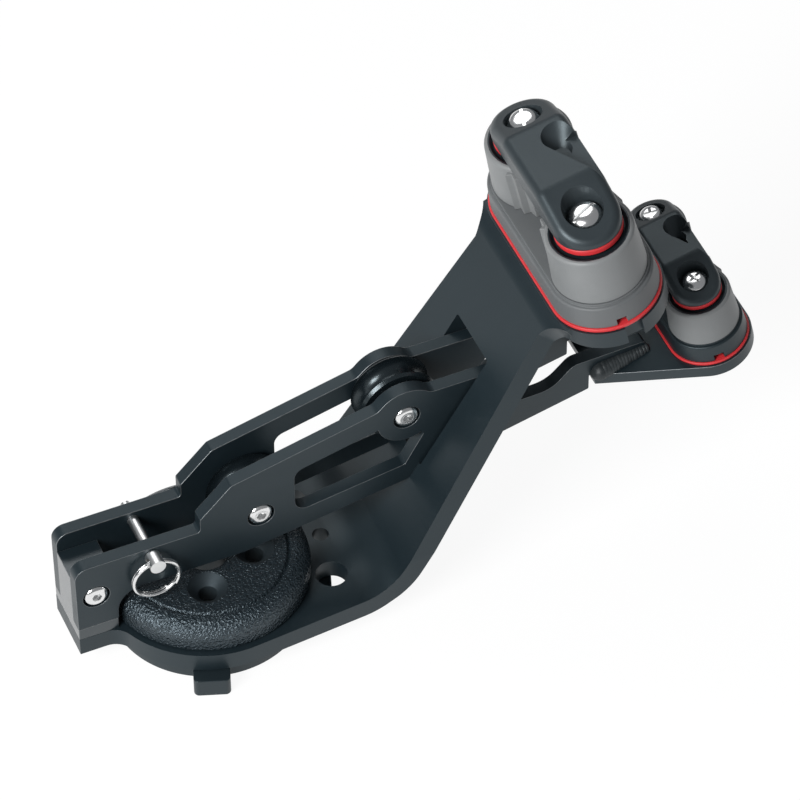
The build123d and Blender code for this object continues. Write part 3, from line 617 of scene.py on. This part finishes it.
def cut_below(mesh, point, normal):
    """Remove what lies behind a plane, and close the holes that this leaves."""
    work = bmesh.new()
    work.from_mesh(mesh)
    bmesh.ops.bisect_plane(work, geom=work.verts[:] + work.edges[:] + work.faces[:],
                           plane_co=point, plane_no=normal, clear_inner=True)
    bmesh.ops.holes_fill(work, edges=[edge for edge in work.edges if edge.is_boundary])
    work.to_mesh(mesh)
    work.free()


for node, seed in seed_of.items():
    low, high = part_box(node)
    leg = high[1] - low[1]
    corner = high[1] if node == "front_weld" else low[1]
    start_x, end_x = low[0] + leg, high[0] - leg * plate_along.x
    length = (end_x - start_x) / plate_along.x
    end = Vector((end_x, corner, high[2] - leg))
    start = end - length * plate_along
    ripples = bead.grow(f"grown_{node}", Matrix.Translation(start) @ turn,
                        count=pool_count, length=length, radius=leg, seed=seed)
    cut_below(ripples.data, start - plate_gap * plate_normal, plate_normal)
    stand_in(ripples, node)

# %% [markdown]
# The split ring is one wire wound almost twice round, with a blunt end on each side. From one end to the
# other the wire climbs a little more than its own thickness, so that the turns lie side by side. The spiral
# is grown flat and then stood on edge, turned so that its ends lie to one side. The CAD has two plain rings
# side by side here, so the width of its box gives the wire's radius.

# %% The split ring
turns = 1.93
climb_in_radii = 2.04
width_in_radii = 4.1
coil = Growth("split_wire", mean_radius=0.006, wire_radius=0.0005)
climb = coil.node("ShaderNodeMath", {"operation": "MULTIPLY"}, {
    0: coil.given["wire_radius"], 1: climb_in_radii})
spiral = coil.node("GeometryNodeCurveSpiral", values={
    "Resolution": 64, "Rotations": turns, "Start Radius": coil.given["mean_radius"],
    "End Radius": coil.given["mean_radius"], "Height": climb})
wire = coil.node("GeometryNodeCurvePrimitiveCircle", values={
    "Resolution": 14, "Radius": coil.given["wire_radius"]})
solid_wire = coil.node("GeometryNodeCurveToMesh", values={
    "Curve": spiral, "Profile Curve": wire, "Fill Caps": True})
coil.ends_in(solid_wire, steel)

low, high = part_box("split_ring")
ring_middle = (low + high) / 2
wire_radius = (high[1] - low[1]) / width_in_radii
mean_radius = (high[0] - low[0]) / 2 - wire_radius
on_edge = Matrix.Rotation(math.radians(-90), 4, "X") @ Matrix.Rotation(math.radians(35), 4, "Z")
half_climb = Matrix.Translation((0, 0, -climb_in_radii / 2 * wire_radius))
ring = coil.grow("grown_ring", Matrix.Translation(ring_middle) @ on_edge @ half_climb,
                 mean_radius=mean_radius, wire_radius=wire_radius)
stand_in(ring, "split_ring")

# %% [markdown]
# ## Camera
# The photograph was taken from the arm's left, from well above, with a long lens. The camera's place comes
# from fitting known corners of the arm to the picture: it stands about 1.35 m away. Three angles aim it:
# `back` points from the scene to the camera, and the roll turns right and up about it.

# %% Camera
camera_place = Vector((-0.2993, -0.8376, 1.0299))
camera_azimuth = math.radians(-23.07)
camera_elevation = math.radians(46.95)
camera_roll = math.radians(-0.58)
focal_length_mm = 223.8

level_right = Vector((math.cos(camera_azimuth), math.sin(camera_azimuth), 0.0))
back = Vector((math.sin(camera_azimuth) * math.cos(camera_elevation),
               -math.cos(camera_azimuth) * math.cos(camera_elevation), math.sin(camera_elevation)))
level_up = back.cross(level_right)
right = math.cos(camera_roll) * level_right + math.sin(camera_roll) * level_up
up = math.cos(camera_roll) * level_up - math.sin(camera_roll) * level_right
camera = bpy.data.objects.new("camera", bpy.data.cameras.new("camera"))
camera.data.lens = focal_length_mm
camera.data.sensor_width = 36.0
camera.data.clip_end = 20.0
camera.matrix_world = Matrix.Translation(camera_place) @ Matrix((right, up, back)).transposed().to_4x4()
bpy.context.scene.collection.objects.link(camera)
bpy.context.scene.camera = camera
print("camera at", [round(x, 3) for x in camera.location])

# %% [markdown]
# ## Floor and light
# A catalogue picture stands on white. The floor is an ordinary pale surface that takes a shadow, mixed with a
# glow that only the camera and mirror-like reflections see, so the picture is white without more light on
# the object. Upright faces reflect that bright floor and faces that look up reflect the dimmer room, which
# is what sets the blue-grey walls of the black plates apart from their tops. The floor lies a hair below the
# lugs, so that the two never share a plane.

# %% Floor
def floor_finish():
    finish = Finish("studio_floor")
    paper_white, glow_strength, glow_share = 0.86, 1.04, 0.88
    camera_ray, glossy_ray = (finish.node("ShaderNodeLightPath", output=name)
                              for name in ("Is Camera Ray", "Is Glossy Ray"))
    seen = camera_ray.math("MAXIMUM", camera_ray, glossy_ray)
    paper = finish.node("ShaderNodeBsdfDiffuse", values={"Color": (*[paper_white] * 3, 1.0)})
    glow = finish.node("ShaderNodeEmission", values={
        "Color": (1.0, 1.0, 1.0, 1.0), "Strength": glow_strength})
    return finish.end_in(finish.node("ShaderNodeMixShader", values={0: seen * glow_share, 1: paper, 2: glow}))


floor_half = 6.0
floor_drop = 0.02 * MM
corners = [(x * floor_half, y * floor_half, -floor_drop) for x, y in ((-1, -1), (1, -1), (1, 1), (-1, 1))]
floor_mesh = bpy.data.meshes.new("floor")
floor_mesh.from_pydata(corners, [], [(0, 1, 2, 3)])
floor_mesh.materials.append(floor_finish())
floor = bpy.data.objects.new("floor", floor_mesh)
bpy.context.scene.collection.objects.link(floor)
print("floor", 2 * floor_half, "m square")

# %% [markdown]
# The room fills the shadows. It is dim and a little cool, so that the undersides of the black plates stay
# darker than their walls.

# %% Room light
world = bpy.data.worlds.new("studio")
world.use_nodes = True
room = world.node_tree.nodes["Background"]
room.inputs["Color"].default_value = (0.95, 0.97, 1.0, 1.0)
room.inputs["Strength"].default_value = 0.26
bpy.context.scene.world = world
print("room light", room.inputs["Strength"].default_value)

# %% [markdown]
# Two soft boxes shape the object: a square key from the camera's left, and a wide and much dimmer one behind
# and above, where the tilted platform, the covers and the screws mirror it towards the camera.

# %% Soft boxes
def soft_box(name, place, target, width, height, power):
    """A rectangular lamp at a place, turned to face its target; metres and watts."""
    lamp = bpy.data.lights.new(name, "AREA")
    lamp.shape = "RECTANGLE"
    lamp.size = width
    lamp.size_y = height
    lamp.energy = power
    holder = bpy.data.objects.new(name, lamp)
    place, target = Vector(place), Vector(target)
    holder.location = place
    holder.rotation_mode = "QUATERNION"
    holder.rotation_quaternion = (target - place).to_track_quat("-Z", "Y")
    bpy.context.scene.collection.objects.link(holder)


aim = (cad_box[0] + cad_box[1]) / 2
soft_box("key_box", (-0.80, -0.45, 0.70), aim, width=0.50, height=0.50, power=15.0)
soft_box("rim_box", (0.02, 0.80, 1.05), aim, width=0.95, height=0.40, power=2.6)
print("soft boxes aimed at", [round(x, 3) for x in aim])

# %% [markdown]
# ## Finish
# The plain look keeps a written colour as it renders.

# %% The plain look
bpy.context.scene.view_settings.view_transform = "Standard"
